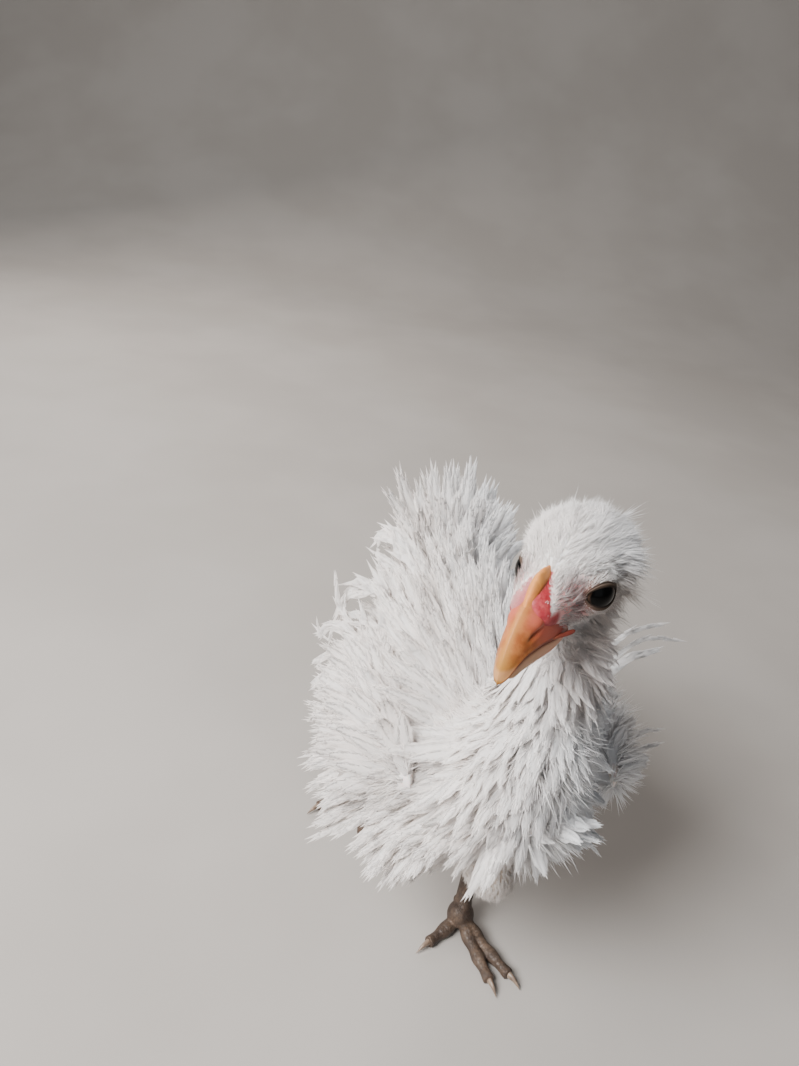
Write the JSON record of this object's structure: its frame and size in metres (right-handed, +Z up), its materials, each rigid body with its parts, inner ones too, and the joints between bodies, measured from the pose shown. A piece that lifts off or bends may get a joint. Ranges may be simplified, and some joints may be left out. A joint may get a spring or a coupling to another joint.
{
  "type": "frizzle chicken",
  "caption": "Still life-size model of a young white frizzle chicken, standing in a short stride with its head turned, in loose outward-curling feathers.",
  "frame": {"origin": "on the floor under the middle of the bounding box", "axes": "+Z up; the body faces -Y and the bird's own left is +X; the head is turned about 41 degrees to its right"},
  "size_m": [0.1335, 0.1509, 0.1908],
  "materials": {
    "feather": "soft matt plumage",
    "comb": "satin skin",
    "bill": "satin horn",
    "eye": "wet gloss",
    "leg": "dull scales",
    "claw": "satin horn"
  },
  "bodies": {
    "root": {"head": "feather", "comb": "comb", "beak_upper": "bill", "beak_lower": "bill", "eye_left": "eye", "eye_right": "eye", "neck": "feather", "torso": "feather", "wing_left": "feather", "wing_right": "feather", "tail": "feather", "thigh_left": "feather", "thigh_right": "feather", "shank_left": "leg", "shank_right": "leg", "foot_left": "leg", "foot_right": "leg", "claw_left_inner": "claw", "claw_left_middle": "claw", "claw_left_outer": "claw", "claw_left_hind": "claw", "claw_right_inner": "claw", "claw_right_middle": "claw", "claw_right_outer": "claw", "claw_right_hind": "claw"}
  },
  "joints": []
}
